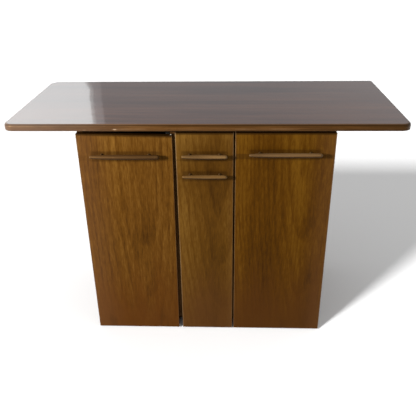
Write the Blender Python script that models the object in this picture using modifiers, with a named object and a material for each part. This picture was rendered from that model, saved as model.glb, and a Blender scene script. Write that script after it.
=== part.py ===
"""Sewing table: a slab top over a cabinet with two doors, a drawer and a deep pull-out bin.

Units are metres, +Z is up and the front faces -Y. The origin is on the floor, at the centre of the
table's footprint.
"""

import math

import bmesh
import bpy
from mathutils import Matrix, Vector

# Overall sizes
HEIGHT = 0.760
TOP_WIDTH = 1.178
TOP_DEPTH = 0.504
TOP_THICKNESS = 0.020
TOP_UPPER_ROUND = 0.008
TOP_LOWER_ROUND = 0.002
TOP_CORNER_RADII = {"front_right": 0.030, "back_right": 0.010, "back_left": 0.036, "front_left": 0.030}
CABINET_WIDTH = 0.769
TOP_OVERHANG_FRONT = 0.028
TOP_OVERHANG_BACK = 0.020

# Boards and the gaps between them
BOARD = 0.018
BACK_THICKNESS = 0.005
BOARD_EDGE = 0.001
FIT = 0.0003
HOUSING = 0.005
DOOR_GAP = 0.0028

# Cabinet fronts: two doors and the narrow middle column
FRONT_TOP = 0.7247
FRONT_BOTTOM = 0.004
FRONT_EDGE = 0.001
MIDDLE_LEFT = -0.0886
MIDDLE_RIGHT = 0.0840
LEFT_SEAM = 0.0088
RIGHT_SEAM = 0.0052
FRONT_SPLIT = 0.6395
FRONT_SPLIT_GAP = 0.0005
LEFT_DOOR_DROP_AT_HINGE = 0.0025
LEFT_DOOR_DROP_AT_FREE_EDGE = 0.0092
LEFT_DOOR_TAPER = 0.0048

# Carcass
GLIDE_HEIGHT = 0.010
GLIDE_RADIUS = 0.0085
GLIDE_INSET = 0.040
FLOOR_UNDERSIDE = 0.030
RAIL_DEPTH = 0.070
LEFT_PARTITION_X = -0.0960
RIGHT_PARTITION_X = 0.0866
SHELF_Z = 0.352
SHELF_SETBACK = 0.020

# Hinges
HINGE_HEIGHT = 0.050
HINGE_KNUCKLE_LENGTH = 0.016
HINGE_KNUCKLE_RADIUS = 0.0024
HINGE_HOLE_RADIUS = 0.0012
HINGE_PIN_RADIUS = 0.00112
HINGE_LEAF_WIDTH = 0.0165
HINGE_LEAF_THICKNESS = 0.0009
HINGE_LEAF_OFFSET = 0.0002
HINGE_MORTISE_RADIUS = 0.0028
HINGE_LOW_Z = 0.095
HINGE_HIGH_Z = 0.610

# Catches
CATCH_WIDTH = 0.014
CATCH_DEPTH = 0.024
CATCH_HEIGHT = 0.016
STRIKE_WIDTH = 0.0155
STRIKE_HEIGHT = 0.028
STRIKE_FLANGE = 0.0120
STRIKE_FLANGE_WIDTH = 0.006
STRIKE_THICKNESS = 0.001
STRIKE_EDGE_INSET = 0.0011
STRIKE_DROP = 0.001

# Pulls: round bars on two dowel posts. Each is (centre x, centre z, length, middle radius, post spacing),
# and the two on the middle fronts are centred on them.
LEFT_DOOR_PULL = (-0.2405, 0.6563, 0.2090, 0.0072, 0.142)
RIGHT_DOOR_PULL = (0.2368, 0.6625, 0.2145, 0.0072, 0.150)
DRAWER_PULL = (0.6570, 0.1360, 0.0072, 0.090)
PULLOUT_PULL = (0.5925, 0.1350, 0.0063, 0.090)
PULL_STANDOFF = 0.0195
PULL_LEFT_TIP = 0.58
PULL_RIGHT_TIP = 0.84
PULL_SIDES = 16
PULL_STATIONS = 9
PULL_TIP_STEPS = 3
POST_RADIUS = 0.0034
POST_SOCKET_RADIUS = 0.0037
POST_SOCKET_FLOOR = 0.0012

# Drawer and pull-out bin
BOX_SIDE = 0.012
BOX_CLEARANCE = 0.001
BOX_LENGTH = 0.340
BOX_BOTTOM = 0.004
BOX_BOTTOM_RAISE = 0.006
BOX_BOTTOM_HOUSING = 0.004
DRAWER_Z = (0.640, 0.706)
PULLOUT_Z = (0.062, 0.342)
RUNNER_PROJECTION = 0.0065
RUNNER_HEIGHT = 0.010
RUNNER_GROOVE_DEPTH = 0.006
RUNNER_LENGTH = 0.360
RUNNER_SETBACK = 0.012

# Places worked out from the sizes above
TOP_UNDERSIDE = HEIGHT - TOP_THICKNESS
FACE_Y = -TOP_DEPTH / 2 + TOP_OVERHANG_FRONT
FRONT_BACK_Y = FACE_Y + BOARD
CARCASS_FRONT_Y = FRONT_BACK_Y + DOOR_GAP
BACK_PANEL_Y = TOP_DEPTH / 2 - TOP_OVERHANG_BACK - BACK_THICKNESS
BOARD_BACK_Y = BACK_PANEL_Y - FIT
SIDE_OUTER = CABINET_WIDTH / 2
SIDE_INNER = SIDE_OUTER - BOARD
FLOOR_TOP = FLOOR_UNDERSIDE + BOARD
RAIL_UNDERSIDE = TOP_UNDERSIDE - FIT - BOARD
PARTITION_TOP = RAIL_UNDERSIDE - FIT
LEFT_DOOR_RIGHT = MIDDLE_LEFT - LEFT_SEAM
RIGHT_DOOR_LEFT = MIDDLE_RIGHT + RIGHT_SEAM
HINGE_X = CABINET_WIDTH / 2
HINGE_Y = FRONT_BACK_Y + DOOR_GAP / 2

# Colour, roughness and metallic value of each finish
FINISHES = {
    "walnut_top": ((0.070, 0.036, 0.020), 0.12, 0.0),
    "walnut_front": ((0.150, 0.070, 0.018), 0.32, 0.0),
    "walnut_pull": ((0.190, 0.100, 0.040), 0.35, 0.0),
    "walnut_case": ((0.110, 0.055, 0.020), 0.40, 0.0),
    "beech_box": ((0.450, 0.290, 0.150), 0.50, 0.0),
    "hardboard": ((0.230, 0.130, 0.065), 0.70, 0.0),
    "steel": ((0.600, 0.590, 0.570), 0.35, 1.0),
    "catch_plastic": ((0.012, 0.011, 0.010), 0.45, 0.0),
    "glide_plastic": ((0.060, 0.055, 0.050), 0.50, 0.0),
}


def clear_scene():
    """Remove every object that the start-up file holds."""
    for obj in list(bpy.data.objects):
        bpy.data.objects.remove(obj, do_unlink=True)


def add_collection(name):
    """A new collection in the scene."""
    collection = bpy.data.collections.new(name)
    bpy.context.scene.collection.children.link(collection)
    return collection


def add_object(name, mesh, location, collection):
    """An object for a mesh, linked to its collection."""
    obj = bpy.data.objects.new(name, mesh)
    obj.location = location
    collection.objects.link(obj)
    return obj


def add_finish(obj, finish):
    """Give an object its own material."""
    colour, roughness, metallic = FINISHES[finish]
    material = bpy.data.materials.new(obj.name + "_finish")
    material.use_nodes = True
    shader = material.node_tree.nodes["Principled BSDF"]
    shader.inputs["Base Color"].default_value = (*colour, 1.0)
    shader.inputs["Roughness"].default_value = roughness
    shader.inputs["Metallic"].default_value = metallic
    obj.data.materials.append(material)


def add_axis(name, location):
    """An empty on a joint's axis, the parent of everything that moves with the joint."""
    empty = bpy.data.objects.new(name, None)
    empty.location = location
    empty.empty_display_size = 0.05
    PARTS.objects.link(empty)
    return empty


def attach(obj, axis):
    """Parent an object to a joint's empty and leave it where it is."""
    if axis is not None:
        obj.parent = axis
        obj.matrix_parent_inverse = Matrix.Translation(-axis.location)


def make_tool(obj):
    """Mark an object as a cutter or a joining shape, which isn't a part."""
    obj.hide_render = True
    obj.display_type = "WIRE"
    return obj


def box_mesh(name, size):
    """A box mesh of the given size, centred on its origin."""
    form = bmesh.new()
    bmesh.ops.create_cube(form, size=1.0)
    bmesh.ops.scale(form, vec=size, verts=form.verts)
    mesh = bpy.data.meshes.new(name)
    form.to_mesh(mesh)
    form.free()
    return mesh


def box_between(name, low, high, collection):
    """A box object between its lowest and highest corners."""
    low = Vector(low)
    high = Vector(high)
    return add_object(name, box_mesh(name, high - low), (low + high) / 2, collection)


def cylinder_between(name, start, end, radius, sides, collection):
    """A round rod from one point to another."""
    start = Vector(start)
    end = Vector(end)
    form = bmesh.new()
    bmesh.ops.create_cone(
        form, cap_ends=True, segments=sides, radius1=radius, radius2=radius, depth=(end - start).length
    )
    mesh = bpy.data.meshes.new(name)
    form.to_mesh(mesh)
    form.free()
    obj = add_object(name, mesh, (start + end) / 2, collection)
    obj.rotation_euler = (end - start).to_track_quat("Z", "Y").to_euler()
    return obj


def smooth_round(obj):
    """Shade a round piece smooth and keep its sharp rims."""
    obj.data.shade_smooth()
    obj.data.set_sharp_from_angle(angle=math.radians(40))


def round_rim(obj, name, side, width, segments):
    """Round the rim of a slab's top (side 1) or underside (side -1) with a Bevel modifier."""
    group = obj.vertex_groups.new(name=name)
    rim = [vertex.index for vertex in obj.data.vertices if vertex.co.z * side > 0]
    group.add(rim, 1.0, "REPLACE")
    modifier = obj.modifiers.new(name, "BEVEL")
    modifier.width = width
    modifier.segments = segments
    modifier.limit_method = "VGROUP"
    modifier.vertex_group = name


def soften(obj, width, segments=2):
    """Round the edges with a Bevel modifier."""
    modifier = obj.modifiers.new("Soft edges", "BEVEL")
    modifier.width = width
    modifier.segments = segments
    modifier.limit_method = "ANGLE"


def combine(obj, tool, operation):
    """Cut a tool out of an object, or join it on, with an exact Boolean."""
    modifier = obj.modifiers.new(operation.title(), "BOOLEAN")
    modifier.operation = operation
    modifier.solver = "EXACT"
    modifier.object = tool


def cut_box(targets, low, high):
    """Cut one box out of several objects."""
    tool = make_tool(box_between(targets[0].name + "_cutter", low, high, TOOLS))
    for target in targets:
        combine(target, tool, "DIFFERENCE")


def board(name, low, high, finish, axis=None, edge=BOARD_EDGE):
    """A flat board or block with softened edges."""
    obj = box_between(name, low, high, PARTS)
    soften(obj, edge)
    add_finish(obj, finish)
    attach(obj, axis)
    return obj


def rounded_corner(centre_x, centre_y, radius, start_angle):
    """Points of a quarter circle that starts at an angle and turns anticlockwise."""
    steps = 8
    points = []
    for index in range(steps + 1):
        angle = start_angle + index * math.pi / 2 / steps
        points.append((centre_x + radius * math.cos(angle), centre_y + radius * math.sin(angle)))
    return points


def flat_outline(name, points, thickness, collection):
    """A closed flat shape in the XY plane, thickened both ways, as a welded mesh object."""
    curve = bpy.data.curves.new(name + "_outline", "CURVE")
    curve.dimensions = "2D"
    curve.fill_mode = "BOTH"
    curve.extrude = thickness / 2
    spline = curve.splines.new("POLY")
    spline.points.add(len(points) - 1)
    for point, (x, y) in zip(spline.points, points):
        point.co = (x, y, 0.0, 1.0)
    spline.use_cyclic_u = True
    guide = bpy.data.objects.new(name + "_outline", curve)
    TOOLS.objects.link(guide)
    evaluated = guide.evaluated_get(bpy.context.evaluated_depsgraph_get())
    mesh = bpy.data.meshes.new_from_object(evaluated)
    mesh.name = name
    bpy.data.objects.remove(guide, do_unlink=True)
    form = bmesh.new()
    form.from_mesh(mesh)
    bmesh.ops.remove_doubles(form, verts=form.verts, dist=0.00001)
    bmesh.ops.dissolve_limit(form, angle_limit=0.001, verts=form.verts, edges=form.edges)
    form.to_mesh(mesh)
    form.free()
    return add_object(name, mesh, (0.0, 0.0, 0.0), collection)


def make_table_top():
    """The slab: rounded corners, a full round on its upper rim and a small one on its lower rim."""
    half_width = TOP_WIDTH / 2
    half_depth = TOP_DEPTH / 2
    corners = (
        ("front_right", 1, -1, -math.pi / 2),
        ("back_right", 1, 1, 0.0),
        ("back_left", -1, 1, math.pi / 2),
        ("front_left", -1, -1, math.pi),
    )
    points = []
    for name, side_x, side_y, start_angle in corners:
        radius = TOP_CORNER_RADII[name]
        centre_x = side_x * (half_width - radius)
        centre_y = side_y * (half_depth - radius)
        points += rounded_corner(centre_x, centre_y, radius, start_angle)
    top = flat_outline("table_top", points, TOP_THICKNESS, PARTS)
    top.location.z = HEIGHT - TOP_THICKNESS / 2
    round_rim(top, "upper_rim", 1, TOP_UPPER_ROUND, 5)
    round_rim(top, "lower_rim", -1, TOP_LOWER_ROUND, 2)
    smooth_round(top)
    add_finish(top, "walnut_top")


def make_sides():
    """The two outer side boards, standing on their glides."""
    sides = {}
    for name, side in (("left", -1), ("right", 1)):
        edges = sorted((side * SIDE_OUTER, side * SIDE_INNER))
        low = (edges[0], CARCASS_FRONT_Y, GLIDE_HEIGHT + FIT)
        high = (edges[1], BOARD_BACK_Y, TOP_UNDERSIDE - FIT)
        sides[name] = board(name + "_side", low, high, "walnut_case")
    return sides


def make_partitions():
    """The two boards beside the middle column, standing on the cabinet floor."""
    partitions = {}
    for name, centre in (("left", LEFT_PARTITION_X), ("right", RIGHT_PARTITION_X)):
        low = (centre - BOARD / 2, CARCASS_FRONT_Y, FLOOR_TOP + FIT)
        high = (centre + BOARD / 2, BOARD_BACK_Y, PARTITION_TOP)
        partitions[name] = board(name + "_partition", low, high, "walnut_case")
    return partitions


def make_cross_boards():
    """The cabinet floor, the two rails under the slab and the back."""
    reach = SIDE_INNER - FIT
    board(
        "cabinet_floor",
        (-reach, CARCASS_FRONT_Y, FLOOR_UNDERSIDE),
        (reach, BOARD_BACK_Y, FLOOR_TOP),
        "walnut_case",
    )
    rail_top = TOP_UNDERSIDE - FIT
    board(
        "front_rail",
        (-reach, CARCASS_FRONT_Y, RAIL_UNDERSIDE),
        (reach, CARCASS_FRONT_Y + RAIL_DEPTH, rail_top),
        "walnut_case",
    )
    board(
        "rear_rail",
        (-reach, BOARD_BACK_Y - RAIL_DEPTH, RAIL_UNDERSIDE),
        (reach, BOARD_BACK_Y, rail_top),
        "walnut_case",
    )
    board(
        "back_panel",
        (-SIDE_OUTER, BACK_PANEL_Y, FLOOR_UNDERSIDE),
        (SIDE_OUTER, BACK_PANEL_Y + BACK_THICKNESS, rail_top),
        "hardboard",
    )


def make_shelf(name, left_board, right_board, inner_left, inner_right):
    """A shelf housed in grooves in the two boards beside it."""
    front = CARCASS_FRONT_Y + SHELF_SETBACK
    reach = HOUSING - FIT
    low = (inner_left - reach, front, SHELF_Z)
    high = (inner_right + reach, BOARD_BACK_Y, SHELF_Z + BOARD)
    board(name, low, high, "walnut_case")
    cut_box(
        (left_board, right_board),
        (inner_left - HOUSING, front - FIT, SHELF_Z - FIT),
        (inner_right + HOUSING, BOARD_BACK_Y + BOARD, SHELF_Z + BOARD + FIT),
    )


def make_shelves(sides, partitions):
    """One shelf in each side bay."""
    left_face = LEFT_PARTITION_X - BOARD / 2
    right_face = RIGHT_PARTITION_X + BOARD / 2
    make_shelf("left_shelf", sides["left"], partitions["left"], -SIDE_INNER, left_face)
    make_shelf("right_shelf", partitions["right"], sides["right"], right_face, SIDE_INNER)


def make_glides():
    """Four round glides under the side boards."""
    centre_x = SIDE_OUTER - BOARD / 2
    places_y = {"front": CARCASS_FRONT_Y + GLIDE_INSET, "rear": BOARD_BACK_Y - GLIDE_INSET}
    for end, y in places_y.items():
        for side, x in (("left", -centre_x), ("right", centre_x)):
            name = "glide_" + end + "_" + side
            glide = cylinder_between(name, (x, y, 0.0), (x, y, GLIDE_HEIGHT), GLIDE_RADIUS, 20, PARTS)
            soften(glide, 0.0015)
            smooth_round(glide)
            add_finish(glide, "glide_plastic")


def make_left_door(axis):
    """The left door, trimmed out of square: its top falls and its width shrinks at the free edge."""
    top = FRONT_TOP - LEFT_DOOR_DROP_AT_HINGE
    door = box_between(
        "left_door",
        (-CABINET_WIDTH / 2, FACE_Y, FRONT_BOTTOM),
        (LEFT_DOOR_RIGHT, FRONT_BACK_Y, top),
        PARTS,
    )
    for vertex in door.data.vertices:
        on_free_edge = vertex.co.x > 0
        at_top = vertex.co.z > 0
        if on_free_edge and at_top:
            vertex.co.z -= LEFT_DOOR_DROP_AT_FREE_EDGE - LEFT_DOOR_DROP_AT_HINGE
        elif on_free_edge:
            vertex.co.x -= LEFT_DOOR_TAPER
    soften(door, FRONT_EDGE)
    add_finish(door, "walnut_front")
    attach(door, axis)
    return door


def make_right_door(axis):
    """The right door, a true rectangle."""
    return board(
        "right_door",
        (RIGHT_DOOR_LEFT, FACE_Y, FRONT_BOTTOM),
        (CABINET_WIDTH / 2, FRONT_BACK_Y, FRONT_TOP),
        "walnut_front",
        axis,
        FRONT_EDGE,
    )


def leaf_outline(side, own_knuckles):
    """The comb shape of a hinge leaf, drawn with its height along the outline's second axis."""
    near = HINGE_HOLE_RADIUS + 0.0004
    far = HINGE_KNUCKLE_RADIUS + 0.0006
    top = HINGE_HEIGHT
    points = [(HINGE_LEAF_WIDTH, 0.0), (HINGE_LEAF_WIDTH, top)]
    if own_knuckles == "ends":
        low = HINGE_KNUCKLE_LENGTH
        high = HINGE_HEIGHT - HINGE_KNUCKLE_LENGTH
        points += [(near, top), (near, high), (far, high), (far, low), (near, low), (near, 0.0)]
    else:
        low = HINGE_KNUCKLE_LENGTH + FIT
        high = HINGE_HEIGHT - HINGE_KNUCKLE_LENGTH - FIT
        points += [(far, top), (far, high), (near, high), (near, low), (far, low), (far, 0.0)]
    return [(-side * x, y) for x, y in points]


def make_hinge_leaf(name, side, centre_z, own_knuckles, axis):
    """One leaf of a butt hinge with its knuckles, drilled for the pin."""
    outline = leaf_outline(side, own_knuckles)
    leaf = flat_outline(name, outline, HINGE_LEAF_THICKNESS, PARTS)
    toward_cabinet = 1 if own_knuckles == "ends" else -1
    offset_y = toward_cabinet * (HINGE_LEAF_OFFSET + HINGE_LEAF_THICKNESS / 2)
    base_z = centre_z - HINGE_HEIGHT / 2
    axis_x = side * HINGE_X
    leaf.location = (axis_x, HINGE_Y + offset_y, base_z)
    leaf.rotation_euler = (math.pi / 2, 0.0, 0.0)
    if own_knuckles == "ends":
        spans = ((0.0, HINGE_KNUCKLE_LENGTH), (HINGE_HEIGHT - HINGE_KNUCKLE_LENGTH, HINGE_HEIGHT))
    else:
        spans = ((HINGE_KNUCKLE_LENGTH + FIT, HINGE_HEIGHT - HINGE_KNUCKLE_LENGTH - FIT),)
    for low, high in spans:
        start = (axis_x, HINGE_Y, base_z + low)
        end = (axis_x, HINGE_Y, base_z + high)
        knuckle = cylinder_between(name + "_knuckle", start, end, HINGE_KNUCKLE_RADIUS, 20, TOOLS)
        combine(leaf, make_tool(knuckle), "UNION")
    start = (axis_x, HINGE_Y, base_z - 0.005)
    end = (axis_x, HINGE_Y, base_z + HINGE_HEIGHT + 0.005)
    hole = cylinder_between(name + "_hole", start, end, HINGE_HOLE_RADIUS, 20, TOOLS)
    combine(leaf, make_tool(hole), "DIFFERENCE")
    add_finish(leaf, "steel")
    attach(leaf, axis)


def make_hinge(name, side, centre_z, side_board, door, axis):
    """A butt hinge: two leaves, a pin, and the mortise for its knuckles in the door and the side."""
    make_hinge_leaf(name + "_cabinet_leaf", side, centre_z, "ends", None)
    make_hinge_leaf(name + "_door_leaf", side, centre_z, "middle", axis)
    axis_x = side * HINGE_X
    low_z = centre_z - HINGE_HEIGHT / 2
    high_z = centre_z + HINGE_HEIGHT / 2
    pin_start = (axis_x, HINGE_Y, low_z)
    pin_end = (axis_x, HINGE_Y, high_z)
    pin = cylinder_between(name + "_pin", pin_start, pin_end, HINGE_PIN_RADIUS, 20, PARTS)
    smooth_round(pin)
    add_finish(pin, "steel")
    mortise_start = (axis_x, HINGE_Y, low_z - FIT)
    mortise_end = (axis_x, HINGE_Y, high_z + FIT)
    mortise = cylinder_between(
        name + "_mortise", mortise_start, mortise_end, HINGE_MORTISE_RADIUS, 20, TOOLS
    )
    make_tool(mortise)
    combine(side_board, mortise, "DIFFERENCE")
    combine(door, mortise, "DIFFERENCE")


def make_catch(side_name, strike_left, door_top, partition_face, side, axis, flanged):
    """A magnetic catch under the rail and its strike, a plate that may fold over the door's top."""
    reach = sorted((partition_face + side * FIT, partition_face + side * (FIT + CATCH_WIDTH)))
    front = CARCASS_FRONT_Y - 0.0008
    top = RAIL_UNDERSIDE - FIT
    board(
        side_name + "_catch_body",
        (reach[0], front, top - CATCH_HEIGHT),
        (reach[1], front + CATCH_DEPTH, top),
        "catch_plastic",
    )
    leg_back = FRONT_BACK_Y + FIT + STRIKE_THICKNESS
    flange_low = door_top + FIT
    flange_top = flange_low + STRIKE_THICKNESS
    strike_top = door_top - STRIKE_DROP
    strike_right = strike_left + STRIKE_WIDTH
    strike = box_between(
        side_name + "_catch_strike",
        (strike_left, FRONT_BACK_Y + FIT, strike_top - STRIKE_HEIGHT),
        (strike_right, leg_back, strike_top),
        PARTS,
    )
    if flanged:
        flange_left = strike_right - STRIKE_FLANGE_WIDTH
        tab = box_between(
            side_name + "_catch_tab",
            (flange_left, FRONT_BACK_Y + FIT, strike_top - STRIKE_THICKNESS),
            (strike_right, leg_back, flange_top),
            TOOLS,
        )
        flange = box_between(
            side_name + "_catch_flange",
            (flange_left, leg_back - STRIKE_FLANGE, flange_low),
            (strike_right, leg_back - STRIKE_THICKNESS / 2, flange_top),
            TOOLS,
        )
        combine(strike, make_tool(tab), "UNION")
        combine(strike, make_tool(flange), "UNION")
    add_finish(strike, "steel")
    attach(strike, axis)


def pull_radius(position, middle_radius):
    """Radius of a pull bar from its left end, -1, to its right end, 1: the left end tapers more."""
    tip = PULL_LEFT_TIP if position < 0 else PULL_RIGHT_TIP
    return middle_radius * (1.0 - (1.0 - tip) * position * position)


def pull_profile(length, middle_radius):
    """The bar's outline from its right end to its left end, with both tips rounded."""
    left_tip = pull_radius(-1.0, middle_radius)
    right_tip = pull_radius(1.0, middle_radius)
    body_left = left_tip - length / 2
    body_right = length / 2 - right_tip
    profile = []
    for index in range(PULL_TIP_STEPS):
        angle = math.pi / 2 * (1.0 - index / PULL_TIP_STEPS)
        profile.append((right_tip * math.cos(angle), body_right + right_tip * math.sin(angle)))
    for index in range(PULL_STATIONS):
        share = index / (PULL_STATIONS - 1)
        along = body_right + (body_left - body_right) * share
        profile.append((pull_radius(1.0 - 2.0 * share, middle_radius), along))
    for index in range(PULL_TIP_STEPS):
        angle = math.pi / 2 * (index + 1) / PULL_TIP_STEPS
        profile.append((left_tip * math.cos(angle), body_left - left_tip * math.sin(angle)))
    return profile


def make_pull(name, centre_x, centre_z, length, middle_radius, post_spacing, axis):
    """A turned bar lying along X, held off the front by two dowel posts let into its back."""
    profile = pull_profile(length, middle_radius)
    mesh = bpy.data.meshes.new(name + "_bar")
    edges = [(index, index + 1) for index in range(len(profile) - 1)]
    mesh.from_pydata([(radius, 0.0, along) for radius, along in profile], edges, [])
    bar_y = FACE_Y - PULL_STANDOFF
    bar = add_object(name + "_bar", mesh, (centre_x, bar_y, centre_z), PARTS)
    bar.rotation_euler = (0.0, math.pi / 2, 0.0)
    turn = bar.modifiers.new("Turned", "SCREW")
    turn.axis = "Z"
    turn.steps = PULL_SIDES
    turn.render_steps = PULL_SIDES
    turn.use_merge_vertices = True
    turn.merge_threshold = 0.00001
    turn.use_smooth_shade = True
    for number, offset in ((1, -post_spacing / 2), (2, post_spacing / 2)):
        x = centre_x + offset
        floor_y = bar_y + POST_SOCKET_FLOOR
        socket = cylinder_between(
            name + "_socket", (x, floor_y, centre_z), (x, FACE_Y, centre_z), POST_SOCKET_RADIUS, 16, TOOLS
        )
        combine(bar, make_tool(socket), "DIFFERENCE")
        post = cylinder_between(
            name + "_post_" + str(number),
            (x, floor_y + FIT, centre_z),
            (x, FACE_Y - FIT, centre_z),
            POST_RADIUS,
            16,
            PARTS,
        )
        smooth_round(post)
        add_finish(post, "walnut_pull")
        attach(post, axis)
    add_finish(bar, "walnut_pull")
    attach(bar, axis)


def make_box(name, span_z, front_z, axis):
    """A drawer box behind its front, hung on wooden runners that lie in grooves in its sides."""
    inner_left = LEFT_PARTITION_X + BOARD / 2
    inner_right = RIGHT_PARTITION_X - BOARD / 2
    box_front = FRONT_BACK_Y + FIT
    box_back = box_front + BOX_LENGTH
    low_z, high_z = span_z
    bottom_z = low_z + BOX_BOTTOM_RAISE
    runner_z = (low_z + high_z) / 2 - RUNNER_HEIGHT / 2
    board(
        name + "_front",
        (MIDDLE_LEFT, FACE_Y, front_z[0]),
        (MIDDLE_RIGHT, FRONT_BACK_Y, front_z[1]),
        "walnut_front",
        axis,
        FRONT_EDGE,
    )
    for side_name, wall, side in (("left", inner_left, 1), ("right", inner_right, -1)):
        outer = wall + side * BOX_CLEARANCE
        inner = outer + side * BOX_SIDE
        edges = sorted((outer, inner))
        side_board = board(
            name + "_" + side_name + "_side",
            (edges[0], box_front, low_z),
            (edges[1], box_back, high_z),
            "beech_box",
            axis,
        )
        groove = sorted((outer - side * BOARD, outer + side * RUNNER_GROOVE_DEPTH))
        cut_box(
            (side_board,),
            (groove[0], CARCASS_FRONT_Y + RUNNER_SETBACK / 2, runner_z - FIT),
            (groove[1], box_back + BOARD, runner_z + RUNNER_HEIGHT + FIT),
        )
        housing = sorted((inner - side * BOX_BOTTOM_HOUSING, inner + side * BOARD))
        cut_box(
            (side_board,),
            (housing[0], box_front - BOARD, bottom_z - FIT),
            (housing[1], box_back + BOARD, bottom_z + BOX_BOTTOM + FIT),
        )
        runner = sorted((wall + side * FIT, wall + side * RUNNER_PROJECTION))
        runner_front = CARCASS_FRONT_Y + RUNNER_SETBACK
        board(
            name + "_runner_" + side_name,
            (runner[0], runner_front, runner_z),
            (runner[1], runner_front + RUNNER_LENGTH, runner_z + RUNNER_HEIGHT),
            "beech_box",
            edge=0.0005,
        )
    inside_left = inner_left + BOX_CLEARANCE + BOX_SIDE
    inside_right = inner_right - BOX_CLEARANCE - BOX_SIDE
    bottom_reach = BOX_BOTTOM_HOUSING - FIT
    board(
        name + "_back",
        (inside_left + FIT, box_back - BOX_SIDE, bottom_z + BOX_BOTTOM + FIT),
        (inside_right - FIT, box_back, high_z),
        "beech_box",
        axis,
    )
    board(
        name + "_bottom",
        (inside_left - bottom_reach, box_front, bottom_z),
        (inside_right + bottom_reach, box_back, bottom_z + BOX_BOTTOM),
        "hardboard",
        axis,
        edge=0.0004,
    )


def make_doors(sides):
    """Both doors with their hinges, catches and pulls."""
    left_axis = add_axis("left_door_axis", (-HINGE_X, HINGE_Y, 0.0))
    right_axis = add_axis("right_door_axis", (HINGE_X, HINGE_Y, 0.0))
    left_door = make_left_door(left_axis)
    right_door = make_right_door(right_axis)
    for level, z in (("lower", HINGE_LOW_Z), ("upper", HINGE_HIGH_Z)):
        make_hinge("left_" + level + "_hinge", -1, z, sides["left"], left_door, left_axis)
        make_hinge("right_" + level + "_hinge", 1, z, sides["right"], right_door, right_axis)
    left_strike = LEFT_DOOR_RIGHT - STRIKE_EDGE_INSET - STRIKE_WIDTH
    left_top = FRONT_TOP - LEFT_DOOR_DROP_AT_FREE_EDGE + 0.0005
    left_face = LEFT_PARTITION_X - BOARD / 2
    make_catch("left", left_strike, left_top, left_face, -1, left_axis, True)
    right_strike = RIGHT_DOOR_LEFT + STRIKE_EDGE_INSET
    right_face = RIGHT_PARTITION_X + BOARD / 2
    make_catch("right", right_strike, FRONT_TOP, right_face, 1, right_axis, False)
    make_pull("left_door_pull", *LEFT_DOOR_PULL, left_axis)
    make_pull("right_door_pull", *RIGHT_DOOR_PULL, right_axis)


def make_middle_column():
    """The drawer above and the deep pull-out bin below it."""
    middle_x = (MIDDLE_LEFT + MIDDLE_RIGHT) / 2
    middle_y = FRONT_BACK_Y
    drawer_axis = add_axis("drawer_axis", (middle_x, middle_y, DRAWER_Z[0]))
    pullout_axis = add_axis("pullout_axis", (middle_x, middle_y, PULLOUT_Z[0]))
    make_box("drawer", DRAWER_Z, (FRONT_SPLIT + FRONT_SPLIT_GAP / 2, FRONT_TOP), drawer_axis)
    make_box("pullout", PULLOUT_Z, (FRONT_BOTTOM, FRONT_SPLIT - FRONT_SPLIT_GAP / 2), pullout_axis)
    make_pull("drawer_pull", middle_x, *DRAWER_PULL, drawer_axis)
    make_pull("pullout_pull", middle_x, *PULLOUT_PULL, pullout_axis)


clear_scene()
PARTS = add_collection("sewing_table")
TOOLS = add_collection("cutters")
make_table_top()
side_boards = make_sides()
partition_boards = make_partitions()
make_cross_boards()
make_shelves(side_boards, partition_boards)
make_glides()
make_doors(side_boards)
make_middle_column()
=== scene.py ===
"""Looks of the sewing table: fine meshes, procedural materials, lights and camera round the CAD frame.

Units are metres, +X is right, +Y is back and +Z is up, as in the frame. Every mesh made here keeps its
origin at the world's, so object coordinates in a material are metres in the frame, as on a CAD node.
"""
import math

import bmesh
import bpy
from mathutils import Matrix, Vector


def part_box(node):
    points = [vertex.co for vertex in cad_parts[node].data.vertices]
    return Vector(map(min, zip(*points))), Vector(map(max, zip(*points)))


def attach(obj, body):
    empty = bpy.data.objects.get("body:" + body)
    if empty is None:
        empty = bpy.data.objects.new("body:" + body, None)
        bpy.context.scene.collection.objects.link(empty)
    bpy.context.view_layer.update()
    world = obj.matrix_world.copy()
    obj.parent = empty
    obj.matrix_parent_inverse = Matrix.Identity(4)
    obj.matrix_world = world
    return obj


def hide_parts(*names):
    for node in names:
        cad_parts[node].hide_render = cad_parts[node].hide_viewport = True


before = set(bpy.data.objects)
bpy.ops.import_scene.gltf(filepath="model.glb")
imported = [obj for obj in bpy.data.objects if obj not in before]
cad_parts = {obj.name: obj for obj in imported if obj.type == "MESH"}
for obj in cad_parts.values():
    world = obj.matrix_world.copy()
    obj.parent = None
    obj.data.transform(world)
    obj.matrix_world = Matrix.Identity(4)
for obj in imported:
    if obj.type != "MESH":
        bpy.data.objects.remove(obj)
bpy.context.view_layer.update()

# Camera, fitted to the edges of the slab and the cabinet
CAMERA_PLACE = Vector((0.0712, -1.7139, 1.2464))
CAMERA_YAW = math.radians(-2.520)
CAMERA_PITCH = math.radians(27.245)
CAMERA_ROLL = math.radians(-0.847)
CAMERA_LENS = 46.33
SENSOR_WIDTH = 36.0

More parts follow.
